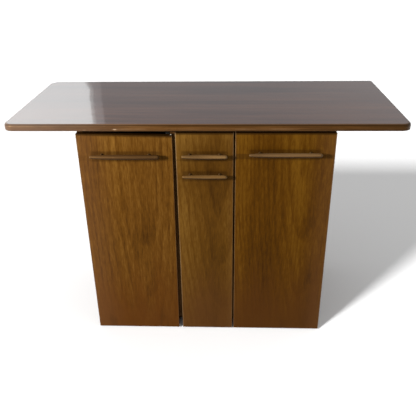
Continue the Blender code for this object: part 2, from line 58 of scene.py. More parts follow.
# Light: one lamp for the table and one that only draws its shadow on the floor
KEY_AZIMUTH = math.radians(51)
KEY_ELEVATION = math.radians(21.5)
KEY_TARGET = Vector((0.0, -0.224, 0.45))
KEY_DISTANCE = 2.4
KEY_WIDTH = 0.22
KEY_HEIGHT = 0.40
KEY_POWER = 103.0
KEY_COLOUR = (1.0, 0.985, 0.965)
FLOOR_KEY_AZIMUTH = math.radians(45)
FLOOR_KEY_ELEVATION = math.radians(27)
FLOOR_KEY_STRENGTH = 5.4
FLOOR_KEY_ANGLE = math.radians(8.5)
STUDIO_GLOW = 0.52
STUDIO_GLOW_RIGHT = 0.74
STUDIO_GLOW_SPAN = (0.05, 0.55)
BACKDROP_GLOW = 1.0
REFLECTED_TINT = (0.90, 0.97, 1.02, 1.0)
WHITE = (1.0, 1.0, 1.0, 1.0)
FLOOR_RADIUS = 40.0
FLOOR_ALBEDO = 0.86
FLOOR_BOUNCE = 0.34

# Window card and the wall strip beside it, seen only as a reflection in the worktop
CARD_Y = 2.594
CARD_STEP = 0.005
CARD_EDGE_AZIMUTH = math.radians(-15.0)
STRIP_EDGE_AZIMUTH = math.radians(-13.75)
CARD_WIDTH = 3.6
CARD_TOP = 3.2
CARD_LOW_Z = 1.30
CARD_HIGH_Z = 1.72
CARD_GLOW = (1.96, 2.84)
STRIP_GLOW = (0.74, 1.12)
STRIP_FALL = 0.80
STRIP_OVERLAP = 0.06
FRINGE_WIDTH = 0.022
FRINGE_GLOW = (1.18, 1.76)
FRINGE_FALL = 0.80
FRINGE_EDGE = ((1.30, -0.034), (1.345, -0.020), (1.38, 0.004), (1.41, 0.016), (1.45, 0.010), (1.60, 0.004))
CURTAIN_EDGE = ((1.30, -0.032), (1.345, -0.024), (1.38, -0.004), (1.41, 0.014), (1.45, 0.003), (1.60, 0.002))

WINDOW_TINT = (0.945, 0.985, 1.0, 1.0)
STRIP_TINT = (0.93, 0.96, 1.0, 1.0)

# Worktop slab. Each chip is (x, z, reach along the edge, depth, paleness)
SLAB_CORNERS = {"front_right": 0.030, "back_right": 0.010, "back_left": 0.036, "front_left": 0.030}
SLAB_UPPER_ROUND = 0.0085
SLAB_LOWER_ROUND = 0.0014
SLAB_ROUND_STEPS = 8
SLAB_CORNER_STEPS = 14
SLAB_STATION = 0.012
SLAB_FLAT_MARGIN = 0.0015
SLAB_FLAT_STEP = 0.0015
CHIPS = ((-0.3478, 0.7436, 0.007, 0.0006, 0.15), (-0.2594, 0.7450, 0.0095, 0.0013, 0.60))
CHIP_STATION = 0.0012
SLAB_SKIN = 0.0004
SEAM_Z = 0.7562
ARRIS_HIGHLIGHT_Z = 0.7580
MID_HIGHLIGHT_Z = 0.7462
LOW_SHADE_Z = (0.7415, 0.7500)
LOW_EDGE_Z = (0.7405, 0.7425)
EDGE_SHEEN_X = (-0.589, -0.12)

# Pulls
PULL_SIDES = 40
PULL_STATIONS = 36
PULL_LEFT_TAPER = 0.42
PULL_RIGHT_TAPER = 0.14
PULL_LEFT_TIP = 0.0030
PULL_RIGHT_TIP = 0.0062
# length of the painted highlight at a pull bar's right tip
PULL_TIP_HIGHLIGHT_END = 0.0035
PULL_TAPER_POWER = 2.6
PULL_TIP_BLUNT = 0.72
PULL_THINNEST = 0.0004
POST_RADIUS = 0.0034
POST_COLLAR = 0.0047
POST_SIDES = 28

# Screws and nails
HINGE_SCREW_SPREAD = 0.017
HINGE_SCREW_HEAD = 0.0026
HINGE_SCREW_OFFSET = 0.0090
HINGE_SCREW_RISE = 0.00015
HINGE_LEAF_FACE = 0.0002
STRIKE_SCREW_HEAD = 0.0028
STRIKE_SCREW_INSET = 0.0030
STRIKE_SCREW_SETBACK = 0.0045
STRIKE_SCREW_RISE = 0.0013
NAIL_HEAD = 0.0016
NAIL_SPACING = 0.085
NAIL_MARGIN = 0.009
SCREW_SIDES = 24
SCREW_STEP = math.radians(15)
SCREW_ARM = 0.52
SCREW_RECESS = (0.25, 0.55)
NAIL_SIDES = 14

# Profiles. Screw: (share of its rise, share of its radius). Nail: (distance out of the board, radius).
# Glide: (height, share of its radius)
SCREW_PROFILE = ((0.00, 1.0), (0.30, 0.97), (0.62, 0.86), (0.88, 0.68))
NAIL_PROFILE = ((-0.0006, 0.0009), (0.0, NAIL_HEAD), (0.0003, NAIL_HEAD * 0.95), (0.0005, NAIL_HEAD * 0.5))
GLIDE_PROFILE = (
    (0.0, 0.60), (0.0004, 0.76), (0.0014, 0.90), (0.0030, 0.98), (0.0048, 1.0), (0.0070, 1.0),
    (0.0074, 0.95), (0.0080, 0.95), (0.0084, 1.0),
)
GLIDE_SIDES = 36

# Catches: pairs of small boxes are (half size, half the space between centres, depth of the centre, bevel)
CATCH_RIBS = ((0.0008, 0.0002, 0.0060), 0.0035, 0.0014, 0.0001)
CATCH_PLATES = ((0.0006, 0.0016, 0.0052), 0.0020, 0.0016, 0.0002)
CATCH_FACE_INSET = 0.0012
CATCH_ROUND = 0.0011

# Figure of each wood: middle tone, depth of the rings, and streaks, each
# (scale across the grain, scale along it, strength, detail)
FRONT_FIGURE = (0.52, 0.16, (
    (9.0, 1.3, 0.18, 3.0), (60.0, 2.2, 0.34, 3.0), (150.0, 26.0, 0.50, 2.0), (190.0, 6.0, 0.36, 3.0),
    (430.0, 50.0, 0.60, 2.0),
))
WORKTOP_FIGURE = (0.55, 0.12, ((12.0, 1.4, 0.45, 3.0), (110.0, 2.5, 0.75, 3.0), (600.0, 9.0, 0.6, 2.0)))
EDGE_FIGURE = (0.5, 0.0, ((260.0, 3.5, 0.9, 3.0), (60.0, 6.0, 0.7, 3.0), (900.0, 16.0, 0.4, 2.0)))
TIMBER_TONE = 0.54
TIMBER_STREAKS = ((14.0, 1.5, 0.6, 3.0), (120.0, 3.0, 0.6, 3.0), (520.0, 12.0, 0.4, 2.0))

WELD = 0.00001
SHARP_ANGLE = math.radians(50)


# -------- meshes


def add_object(name, data):
    """A new object in the scene, at the world's origin."""
    made = bpy.data.objects.new(name, data)
    bpy.context.scene.collection.objects.link(made)
    return made


def new_piece(name, mesh_builder, materials, body, replaced=()):
    """A mesh piece that rides on a body and stands for the CAD nodes that it replaces."""
    bm = bmesh.new()
    mesh_builder(bm)
    bmesh.ops.recalc_face_normals(bm, faces=bm.faces)
    mesh = bpy.data.meshes.new(name)
    bm.to_mesh(mesh)
    bm.free()
    mesh.shade_smooth()
    mesh.set_sharp_from_angle(angle=SHARP_ANGLE)
    for key in materials:
        mesh.materials.append(MATERIALS[key])
    piece = add_object(name, mesh)
    add_weighted_normals(piece)
    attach(piece, body)
    if replaced:
        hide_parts(*replaced)


def add_weighted_normals(piece):
    """Flat faces stay flat beside small rounded edges."""
    piece.modifiers.new("weighted_normals", "WEIGHTED_NORMAL").keep_sharp = True


def skin(bm, rings):
    """Quads between rings of equal length, with a face at each end."""
    loops = [[bm.verts.new(point) for point in ring] for ring in rings]
    count = len(loops[0])
    for low, high in zip(loops, loops[1:]):
        for i in range(count):
            j = (i + 1) % count
            bm.faces.new((low[i], low[j], high[j], high[i]))
    bm.faces.new(list(reversed(loops[0])))
    bm.faces.new(loops[-1])


def turned(bm, origin, axis, profile, sides):
    """A solid of revolution: profile holds (distance along the axis, radius)."""
    turn = Vector((0, 0, 1)).rotation_difference(Vector(axis)).to_matrix()
    rings = []
    for along, radius in profile:
        ring = []
        for i in range(sides):
            angle = 2 * math.pi * i / sides
            local = Vector((radius * math.cos(angle), radius * math.sin(angle), along))
            ring.append(Vector(origin) + turn @ local)
        rings.append(ring)
    skin(bm, rings)


def box(bm, low, high, bevel, segments):
    """A box with rounded edges."""
    size = Vector(high) - Vector(low)
    centre = (Vector(high) + Vector(low)) / 2
    matrix = Matrix.Translation(centre) @ Matrix.Diagonal((*size, 1))
    made = bmesh.ops.create_cube(bm, size=1, matrix=matrix)
    edges = list(dict.fromkeys(edge for vert in made["verts"] for edge in vert.link_edges))
    bmesh.ops.bevel(bm, geom=edges, offset=bevel, segments=segments, profile=0.5, affect="EDGES")


def screw_head(bm, centre, normal, radius, rise):
    """A cross-head screw: its rounded face stands up to rise above centre, its recess is slot 1."""
    turn = Vector((0, 0, 1)).rotation_difference(Vector(normal)).to_matrix()
    arm = SCREW_ARM * radius
    half_width = arm * math.tan(SCREW_STEP)

    def cross_radius(step):
        """Edge of the cross recess at each step round the screw."""
        angle = SCREW_STEP * (step % 6)
        if step % 6 in (0, 1):
            return arm / math.cos(angle)
        if step % 6 == 5:
            return arm / math.cos(SCREW_STEP)
        return half_width / min(math.sin(angle), math.cos(angle))

    def ring(height, radius_at):
        points = []
        for step in range(SCREW_SIDES):
            angle = 2 * math.pi * step / SCREW_SIDES
            reach = radius_at(step)
            local = Vector((reach * math.cos(angle), reach * math.sin(angle), height))
            points.append(Vector(centre) + turn @ local)
        return points

    before = len(bm.faces)
    rings = [ring(height * rise, lambda step: share * radius) for height, share in SCREW_PROFILE]
    rings.append(ring(rise, cross_radius))
    depth, narrowing = SCREW_RECESS
    rings.append(ring(depth * rise, lambda step: narrowing * cross_radius(step)))
    skin(bm, rings)
    bm.faces.ensure_lookup_table()
    recess = [face for face in bm.faces[before:] if len(face.verts) > 4][1:]
    wall = before + len(SCREW_PROFILE) * SCREW_SIDES
    recess += bm.faces[wall:wall + SCREW_SIDES]
    for face in recess:
        face.material_index = 1


# -------- CAD nodes


def make_smoothing_group():
    """Welds a CAD mesh and smooths it, leaving its sharp edges sharp."""
    group = bpy.data.node_groups.new("weld_and_smooth", "GeometryNodeTree")
    for direction in ("INPUT", "OUTPUT"):
        group.interface.new_socket("Geometry", in_out=direction, socket_type="NodeSocketGeometry")
    nodes = NodeTree(group)
    start = nodes.add("NodeGroupInput").outputs[0]
    weld = nodes.fill(nodes.add("GeometryNodeMergeByDistance"), Geometry=start, Distance=WELD)
    faces = nodes.fill(nodes.add("GeometryNodeSetShadeSmooth", domain="FACE"), Geometry=weld.outputs[0])
    angle = nodes.add("GeometryNodeInputMeshEdgeAngle").outputs["Unsigned Angle"]
    sharp = nodes.fill(
        nodes.add("FunctionNodeCompare", data_type="FLOAT", operation="GREATER_THAN"), A=angle, B=SHARP_ANGLE
    )
    edges = nodes.fill(
        nodes.add("GeometryNodeSetShadeSmooth", domain="EDGE"),
        Geometry=faces.outputs[0], Selection=sharp.outputs[0], Shade_Smooth=False,
    )
    nodes.add("NodeGroupOutput", edges.outputs[0])
    return group


def dress_cad_node(name, material, smoothing):
    """A kept CAD node gets its material and smooth rounded edges."""
    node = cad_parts[name]
    for slot in node.material_slots:
        slot.material = material
    node.modifiers.new("smooth", "NODES").node_group = smoothing
    add_weighted_normals(node)


# -------- material graph


def linear(red, green, blue):
    """A colour given in display values from 0 to 255, as linear light."""
    def one(value):
        value /= 255
        return value / 12.92 if value <= 0.04045 else ((value + 0.055) / 1.055) ** 2.4

    return (one(red), one(green), one(blue), 1.0)


class NodeTree:
    """A node tree, with a short call for each kind of node."""

    def __init__(self, tree):
        self.tree = tree
        tree.nodes.clear()

    def feed(self, socket, value):
        if isinstance(value, bpy.types.NodeSocket):
            self.tree.links.new(value, socket)
        else:
            socket.default_value = value

    def add(self, kind, *values, **settings):
        """A new node with these settings, its first inputs set or linked to the values."""
        node = self.tree.nodes.new(kind)
        for name, value in settings.items():
            setattr(node, name, value)
        for socket, value in zip(node.inputs, values):
            self.feed(socket, value)
        return node

    def fill(self, node, **values):
        """Sets or links a node's inputs, named with underscores for spaces."""
        for name, value in values.items():
            self.feed(node.inputs[name.replace("_", " ")], value)
        return node

    def math(self, operation, *values, clamp=False):
        return self.add("ShaderNodeMath", *values, operation=operation, use_clamp=clamp).outputs[0]

    def plus(self, first, second):
        return self.math("ADD", first, second)

    def minus(self, first, second):
        return self.math("SUBTRACT", first, second)

    def times(self, first, second, clamp=False):
        return self.math("MULTIPLY", first, second, clamp=clamp)

    def gap(self, first, second):
        """Distance between two values."""
        return self.math("ABSOLUTE", self.minus(first, second))

    def sum(self, total, *terms):
        for term in terms:
            total = self.plus(total, term)
        return total

    def vector(self, x, y, z):
        return self.add("ShaderNodeCombineXYZ", x, y, z).outputs[0]

    def axes(self, vector):
        return self.add("ShaderNodeSeparateXYZ", vector).outputs

    def vector_math(self, operation, *vectors):
        node = self.add("ShaderNodeVectorMath", *vectors, operation=operation)
        return node.outputs["Value" if operation == "LENGTH" else "Vector"]

    def noise(self, place, detail=2.0, roughness=0.5, distortion=0.0):
        node = self.fill(
            self.add("ShaderNodeTexNoise"),
            Vector=place, Scale=1.0, Detail=detail, Roughness=roughness, Distortion=distortion,
        )
        return node.outputs[0]

    def levels(self, value, low, high, to_low=0.0, to_high=1.0, smooth=True):
        """Carries low to high over to to_low to to_high, and holds the ends beyond them."""
        kind = "SMOOTHSTEP" if smooth else "LINEAR"
        node = self.add("ShaderNodeMapRange", value, low, high, to_low, to_high, interpolation_type=kind)
        return node.outputs[0]

    def fade(self, value, start, end, strength=1.0):
        """Strength up to start, falling smoothly to nothing at end."""
        return self.levels(value, start, end, strength, 0.0)

    def mix(self, factor, first, second):
        node = self.add("ShaderNodeMix", factor, data_type="RGBA")
        self.feed(node.inputs[6], first)
        self.feed(node.inputs[7], second)
        return node.outputs[2]

    def ramp(self, factor, positions, colours):
        node = self.add("ShaderNodeValToRGB", factor)
        elements = node.color_ramp.elements
        while len(elements) < len(colours):
            elements.new(0.5)
        for element, position, colour in zip(elements, positions, colours):
            element.position = position
            element.color = colour
        return node.outputs[0]


class Graph(NodeTree):
    """A material with one shader, its textures placed in object coordinates."""

    def __init__(self, name, shader="ShaderNodeBsdfPrincipled"):
        self.material = bpy.data.materials.new(name)
        self.material.use_nodes = True
        super().__init__(self.material.node_tree)
        self.shader = self.add(shader)
        self.add("ShaderNodeOutputMaterial", self.shader.outputs[0])
        self.place = self.add("ShaderNodeTexCoord").outputs["Object"]

    def set(self, **values):
        self.fill(self.shader, **values)

    def speckle(self, scale, detail, roughness=0.5, distortion=0.0):
        """Noise in object coordinates, scaled by a number for each axis or one for all."""
        scale = scale if isinstance(scale, tuple) else (scale,) * 3
        return self.noise(self.vector_math("MULTIPLY", self.place, scale), detail, roughness, distortion)

    def bump(self, height, distance, strength, normal=None):
        node = self.fill(self.add("ShaderNodeBump"), Strength=strength, Distance=distance, Height=height)
        if normal is not None:
            self.fill(node, Normal=normal)
        self.set(Normal=node.outputs[0])


GRAIN_ORDER = {"X": (1, 2, 0), "Y": (0, 2, 1), "Z": (0, 1, 2)}


class Wood(Graph):
    """Wood cut from one log: growth rings round a tilted heart, streaks, pores and slow mottling."""

    def __init__(self, name, grain, seed):
        super().__init__(name)
        self.across, self.depth, self.along = (self.axes(self.place)[i] for i in GRAIN_ORDER[grain])
        self.seed = Vector((seed * 3.7, seed * 1.9, seed * 5.3))
        self.timber = self.vector(self.across, self.depth, self.along)

    def stretched(self, across, along):
        """Timber coordinates scaled across and along the grain."""
        scaled = self.vector_math("MULTIPLY", self.timber, (across, across, along))
        return self.vector_math("ADD", scaled, self.seed)

    def centred(self, across, along, amount, detail=2.0):
        """Noise from minus half to plus half of amount."""
        value = self.noise(self.stretched(across, along), detail)
        return self.times(self.minus(value, 0.5), amount)

    def rings(self, heart, slope, taper, spacing, wander):
        """Late-wood lines: dark where a growth ring ends. heart is (across, along)."""
        beyond = self.minus(self.along, heart[1])
        side = self.plus(self.minus(self.across, heart[0]), self.times(beyond, slope))
        side = self.plus(side, self.centred(5.0, 0.9, wander))
        reach = self.vector_math("LENGTH", self.vector(side, self.times(beyond, taper), self.depth))
        phase = self.plus(self.math("DIVIDE", reach, spacing), self.centred(30.0, 2.5, 1.1))
        turn = self.math("FRACT", phase)
        growing = self.levels(turn, 0.35, 0.90)
        ending = self.fade(turn, 0.90, 1.0)
        return self.times(growing, ending)

    def pores(self):
        """Short dark dashes along the grain."""
        value = self.noise(self.stretched(1500.0, 55.0), 1.0)
        return self.levels(value, 0.60, 0.72)

    def figure(self, ring, middle, depth, streaks, share=1.0):
        """Tone of the bare wood: a middle value, darker at the rings by depth, varied by the streaks."""
        tone = middle if ring is None else self.plus(middle, self.times(ring, -depth * share))
        for across, along, strength, detail in streaks:
            tone = self.plus(tone, self.centred(across, along, strength * share, detail))
        return tone


def make_front_wood(look):
    """Satin veneer with upright grain, its colour drifting across and up the front; painted shade darkens it
    toward the floor, round the pulls and under the slab, and painted highlights pale its upright edges.
    """
    wood = Wood(look["name"], "Z", look["seed"])
    dark, middle, light, foot = look["palette"]
    ring = wood.rings(look["heart"], look["slope"], 0.12, 0.0075, 0.060)
    drift = wood.plus(wood.across, wood.centred(6.0, 1.3, 0.030))
    tone = wood.figure(ring, *FRONT_FIGURE, share=look["figure"])
    for place, marks in ((drift, look["bands"]), (wood.along, look["heights"])):
        for centre, reach, change in marks:
            tone = wood.plus(tone, wood.fade(wood.gap(place, centre), 0.0, reach, change))
    # painted shade: the tone falls from the top of the front toward the floor
    tone = wood.plus(tone, wood.levels(wood.along, 0.10, 0.72, *look["fall"], smooth=False))
    colour = wood.ramp(tone, (0.10, 0.50, 0.90), (dark, middle, light))
    # redder and darker toward the floor: partly the veneer's own tone, partly painted shade
    low = wood.plus(wood.along, wood.centred(30.0, 3.0, 0.30, 3.0))
    colour = wood.mix(wood.fade(low, 0.00, 0.36, look["foot"]), colour, foot)
    flame = wood.levels(wood.noise(wood.stretched(26.0, 5.0), 2.0), 0.50, 0.68)
    flame = wood.times(flame, wood.fade(wood.along, 0.02, 0.15, look["flame"]))
    colour = wood.mix(flame, colour, dark)
    start, end, strength = look["haze"]
    colour = wood.mix(wood.fade(drift, start, end, strength), colour, HAZE)
    pores = wood.pores()
    colour = wood.mix(wood.times(pores, 0.40), colour, dark)
    # painted shade of each pull bar on the front, and a dark band beyond the bar's tips
    for pull in look["pulls"]:
        colour = wood.mix(painted_shade_round_pull(wood, *pull), colour, SHADE_AND_DARK_TONE)
    # painted shade of the slab along the front's top edge
    colour = wood.mix(painted_top_shade(wood, *look["top"]), colour, SHADE_AND_DARK_TONE)
    # painted highlights on the upright edges
    for foot_x, lean, reach, strength in look["arris_highlights"]:
        colour = wood.mix(painted_arris_highlight(wood, foot_x, lean, reach, strength), colour, ARRIS_HIGHLIGHT)
    rub = wood.noise(wood.stretched(60.0, 12.0), 3.0)
    wood.set(
        Base_Color=colour,
        Roughness=wood.levels(rub, 0.3, 0.7, 0.36, 0.54),
        Specular_IOR_Level=0.16,
        Specular_Tint=FRONT_SHEEN,
    )
    height = wood.sum(wood.times(pores, -1.0), wood.times(ring, 0.25))
    wood.bump(height, 0.00012, 0.6)
    return wood.material


def painted_shade_round_pull(wood, pull, left, right):
    """Painted shade of the bar on the front behind a pull, and a dark band at the bar's height beyond its
    tips.
    left and right are the band's strengths beyond the bar's tips.
    """
    low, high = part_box(f"{pull}_pull_bar")
    rise = wood.minus(wood.along, (low.z + high.z) / 2)
    rise = wood.plus(rise, wood.centred(60.0, 60.0, 0.002))
    # painted shade of the bar, centred a little below it
    painted_bar_shade = wood.math("ABSOLUTE", wood.plus(rise, PULL_SHADE_DROP))
    painted_bar_shade = wood.fade(painted_bar_shade, PULL_SHADE_CORE, PULL_SHADE_REACH, PULL_SHADE_STRENGTH)
    tip_band = wood.math("ABSOLUTE", wood.plus(rise, TIP_BAND_DROP))
    tip_band = wood.fade(tip_band, TIP_BAND_CORE - TIP_BAND_BLUR, TIP_BAND_CORE + TIP_BAND_BLUR)
    past_left = wood.fade(wood.across, low.x - PULL_SHADE_FADE, low.x + PULL_SHADE_FADE)
    past_right = wood.levels(wood.across, high.x - PULL_SHADE_FADE, high.x + PULL_SHADE_FADE)
    behind = wood.minus(wood.minus(1.0, past_left), past_right)
    beyond = wood.sum(wood.times(past_left, left), wood.times(past_right, right))
    return wood.sum(wood.times(painted_bar_shade, behind), wood.times(tip_band, beyond))


def painted_top_shade(wood, top, fall):
    """Painted shade of the slab's overhang along a front's top edge. top is the edge's height at x = 0 and
    fall its slope along x.
    """
    edge = wood.plus(wood.times(wood.across, fall), top)
    drop = wood.minus(edge, wood.along)
    drop = wood.plus(drop, wood.centred(90.0, 20.0, 0.0016))
    return wood.fade(drop, TOP_SHADE_CORE, TOP_SHADE_REACH, TOP_SHADE_STRENGTH)


def painted_arris_highlight(wood, foot_x, lean, reach, strength):
    """Painted highlight along the upright edge of a front, in patches, palest near its top."""
    line = wood.minus(wood.across, wood.times(wood.along, lean))
    gap = wood.gap(line, foot_x)
    painted_highlight = wood.levels(wood.noise(wood.stretched(40.0, 18.0), 3.0), 0.30, 0.60, 0.5, 1.0)
    rise = wood.levels(wood.along, 0.60, 0.73, 0.55, 1.3, smooth=False)
    band = wood.fade(gap, 0.5 * reach, reach, strength)
    return wood.times(wood.times(band, painted_highlight), rise, clamp=True)


def make_worktop_wood():
    """Dark lacquered face of the slab, with grain along its length."""
    wood = Wood("worktop_wood", "X", 11)
    ring = wood.rings((0.05, 0.1), 0.04, 0.10, 0.016, 0.05)
    tone = wood.plus(wood.figure(ring, *WORKTOP_FIGURE), wood.levels(wood.along, 0.15, 0.50, 0.0, 0.16))
    colour = wood.ramp(tone, (0.12, 0.5, 0.88), palette(*WORKTOP_SHADES))
    pores = wood.pores()
    colour = wood.mix(wood.times(pores, 0.5), colour, WORKTOP_PORE)
    rows = wood.noise(wood.stretched(72.0, 1.6), 3.0, 0.65)
    fine = wood.noise(wood.stretched(420.0, 3.0), 2.0)
    cloud = wood.noise(wood.stretched(9.0, 7.0), 4.0)
    rough = wood.sum(
        wood.levels(rows, 0.38, 0.66, 0.028, 0.060),
        wood.levels(fine, 0.40, 0.70, 0.0, 0.012),
        wood.levels(cloud, 0.4, 0.75, 0.0, 0.02),
    )
    tilt = wood.sum(
        wood.centred(85.0, 5.0, 0.010, 2.0), wood.centred(36.0, 2.5, 0.012), wood.centred(16.0, 3.0, 0.008)
    )
    level = wood.vector_math("NORMALIZE", wood.vector(tilt, wood.centred(9.0, 7.0, 0.004), 1.0))
    wood.set(Base_Color=colour, Roughness=rough, Specular_IOR_Level=0.5)
    height = wood.sum(wood.times(pores, -1.0), wood.times(fine, 0.5))
    wood.bump(height, 0.00002, 0.35, level)
    return wood.material


def make_slab_edge_wood():
    """Solid lipping round the slab: long streaks, a dark joint below its top, pale chips, painted highlights
    along its top arris and its middle, painted shade toward its bottom and a painted reflection toward its
    left end.
    """
    wood = Wood("slab_edge_wood", "X", 23)
    x, y, z = wood.along, wood.across, wood.depth
    tone = wood.plus(wood.figure(None, *EDGE_FIGURE), wood.levels(x, 0.20, 0.48, 0.0, -0.16))
    colour = wood.ramp(tone, (0.15, 0.5, 0.85), palette(*EDGE_SHADES))
    seam = wood.gap(z, SEAM_Z)
    colour = wood.mix(wood.fade(seam, 0.0008, 0.0024, 0.72), colour, EDGE_SEAM)
    # painted highlight along the top arris of the edge
    colour = wood.mix(wood.levels(z, ARRIS_HIGHLIGHT_Z, ARRIS_HIGHLIGHT_Z + 0.0012, 0.0, 0.40), colour, EDGE_ARRIS_HIGHLIGHT)
    # painted highlight along the middle of the edge, in patches
    middle = wood.gap(z, MID_HIGHLIGHT_Z)
    patches = wood.levels(wood.noise(wood.stretched(20.0, 9.0), 3.0), 0.48, 0.66)
    painted_mid_highlight = wood.times(wood.fade(middle, 0.0004, 0.0022, 0.34), patches)
    colour = wood.mix(painted_mid_highlight, colour, EDGE_MID_HIGHLIGHT)
    # painted shade toward the bottom of the edge
    colour = wood.mix(wood.fade(z, *LOW_SHADE_Z, 0.30), colour, EDGE_LOW_SHADE)
    colour = wood.mix(wood.fade(z, *LOW_EDGE_Z, 0.25), colour, EDGE_LOW)
    for chip_x, chip_z, reach, _depth, pale in CHIPS:
        offset = wood.vector(wood.times(wood.minus(x, chip_x), 0.30), wood.minus(z, chip_z), 0.0)
        ragged = wood.sum(wood.vector_math("LENGTH", offset), wood.centred(420.0, 420.0, 0.003))
        front = wood.math("LESS_THAN", y, 0.0)
        bare = wood.times(front, wood.fade(ragged, 0.10 * reach, 0.24 * reach, pale))
        colour = wood.mix(bare, colour, BARE_WOOD)
    # painted reflection: paler and greyer toward the left end of the edge
    colour = wood.mix(wood.fade(x, *EDGE_SHEEN_X, 0.48), colour, EDGE_LEFT_SHEEN)
    pores = wood.pores()
    colour = wood.mix(wood.times(pores, 0.4), colour, EDGE_PORE)
    wood.set(
        Base_Color=colour,
        Roughness=wood.levels(wood.noise(wood.stretched(90.0, 14.0), 3.0), 0.3, 0.7, 0.26, 0.46),
        Specular_IOR_Level=0.22,
        Specular_Tint=WARM_SHEEN,
    )
    wood.bump(wood.times(pores, -1.0), 0.0001, 0.6)
    return wood.material


def make_plain_wood(name, grain, seed, shades, roughness, specular, rings=0.22, bar=None):
    """Timber of the carcass, the boxes and the pulls. bar is a pull's box, how much darker its ends are and
    the strength of the painted highlight at its right tip; a bar also gets painted shade underneath.
    """
    wood = Wood(name, grain, seed)
    ring = wood.rings((0.03, 0.2), 0.03, 0.09, 0.009, 0.05)
    tone = wood.figure(ring, TIMBER_TONE, rings, TIMBER_STREAKS)
    colour = wood.ramp(tone, (0.15, 0.5, 0.85), shades)
    pores = wood.pores()
    colour = wood.mix(wood.times(pores, 0.35), colour, shades[0])
    if bar:
        colour = bar_shade_and_highlight(wood, colour, *bar)
    rub = wood.noise(wood.stretched(70.0, 15.0), 3.0)
    wood.set(
        Base_Color=colour,
        Roughness=wood.levels(rub, 0.3, 0.7, *roughness),
        Specular_IOR_Level=specular,
        Specular_Tint=WARM_SHEEN,
    )
    wood.bump(wood.sum(wood.times(pores, -1.0), wood.times(ring, 0.2)), 0.0001, 0.6)
    return wood.material


def bar_shade_and_highlight(wood, colour, low, high, dull_left, dull_right, tip_highlight_strength):
    """A pull bar: darker toward one end, partly its own tone and partly painted shade on a lit tip, with
    painted shade underneath and a painted highlight at its right tip.
    """
    dull = wood.levels(wood.along, low.x + 0.02, high.x - 0.02, dull_left, dull_right)
    colour = wood.mix(dull, colour, SHADE_AND_DARK_TONE)
    middle = (low.z + high.z) / 2
    half = (high.z - low.z) / 2
    # painted shade on the bar's underside
    painted_underside_shade = wood.fade(wood.depth, middle - 0.45 * half, middle + 0.06 * half, 0.90)
    colour = wood.mix(painted_underside_shade, colour, SHADE_AND_DARK_TONE)
    # painted highlight at the bar's right tip
    painted_highlight = wood.levels(wood.along, high.x - PULL_TIP_HIGHLIGHT_END, high.x - 0.3 * PULL_TIP_HIGHLIGHT_END, 0.0, tip_highlight_strength)
    return wood.mix(painted_highlight, colour, TIP_HIGHLIGHT)


def make_hardboard():
    """Pressed fibre: fine short fibres, a few darker flecks, a waxed face."""
    graph = Graph("pressed_fibre")
    fibres = graph.speckle(900.0, 3.0, 0.7, 2.5)
    clouds = graph.speckle(9.0, 4.0, 0.6)
    flecks = graph.speckle(240.0, 2.0)
    tone = graph.plus(graph.times(fibres, 0.6), graph.times(clouds, 0.4))
    colour = graph.ramp(tone, (0.30, 0.5, 0.72), palette(*HARDBOARD_SHADES))
    colour = graph.mix(graph.levels(flecks, 0.66, 0.74, 0.0, 0.5), colour, FIBRE_FLECK)
    rough = graph.levels(clouds, 0.3, 0.7, 0.42, 0.60)
    graph.set(Base_Color=colour, Roughness=rough, Specular_IOR_Level=0.3)
    graph.bump(fibres, 0.0001, 0.5)
    return graph.material


def make_metal(name, tint, roughness):
    """Plated steel with rolling marks, dull patches and a few dark specks."""
    graph = Graph(name)
    marks = graph.speckle((900.0, 900.0, 60.0), 3.0)
    patches = graph.speckle(130.0, 4.0)
    specks = graph.speckle(620.0, 2.0)
    dull = tuple(0.55 * channel for channel in tint[:3]) + (1.0,)
    colour = graph.mix(graph.levels(patches, 0.45, 0.7), tint, dull)
    colour = graph.mix(graph.levels(specks, 0.68, 0.74, 0.0, 0.6), colour, METAL_SPECK)
    rough = graph.levels(marks, 0.3, 0.7, roughness - 0.06, roughness + 0.06)
    rough = graph.plus(rough, graph.levels(patches, 0.45, 0.7, 0.0, METAL_WEAR))
    graph.set(Base_Color=colour, Metallic=1.0, Roughness=rough)
    graph.bump(marks, 0.00003, 0.4)
    return graph.material


def make_plastic(name, light, dark, roughness, specular=0.45):
    """Moulded plastic with a fine grained skin, slight mottling and handling marks."""
    graph = Graph(name)
    grain = graph.speckle(2600.0, 2.0)
    clouds = graph.speckle(160.0, 4.0)
    colour = graph.mix(graph.levels(clouds, 0.35, 0.7), light, dark)
    rough = graph.levels(clouds, 0.3, 0.7, roughness - 0.07, roughness + 0.1)
    graph.set(Base_Color=colour, Roughness=rough, Specular_IOR_Level=specular)
    graph.bump(grain, 0.00003, 0.5)
    return graph.material


# -------- materials of the table


def palette(*shades, gain=1.0, tint=(1.0, 1.0, 1.0)):
    """Linear colours from display values, all scaled by one gain and one tint."""
    colours = []
    for shade in shades:
        scaled = [channel * gain * share for channel, share in zip(linear(*shade), tint)]
        colours.append((*scaled, 1.0))
    return tuple(colours)


WOOD_SHADES = ((52, 27, 4), (86, 52, 13), (116, 78, 30))
LEFT_FOOT = (80, 42, 9)
MIDDLE_FOOT = (84, 48, 20)
RIGHT_FOOT = (84, 48, 24)
WORKTOP_SHADES = ((46, 28, 23), (79, 51, 41), (106, 72, 56))
EDGE_SHADES = ((44, 26, 9), (72, 45, 18), (98, 67, 36))
HARDBOARD_SHADES = ((74, 50, 32), (108, 76, 49), (140, 104, 70))
HAZE = linear(104, 72, 48)
# dark colour of the painted shade, and of the darker end of a pull bar
SHADE_AND_DARK_TONE = linear(34, 18, 4)
# colour of the painted highlights on the fronts' upright edges
ARRIS_HIGHLIGHT = linear(150, 124, 92)
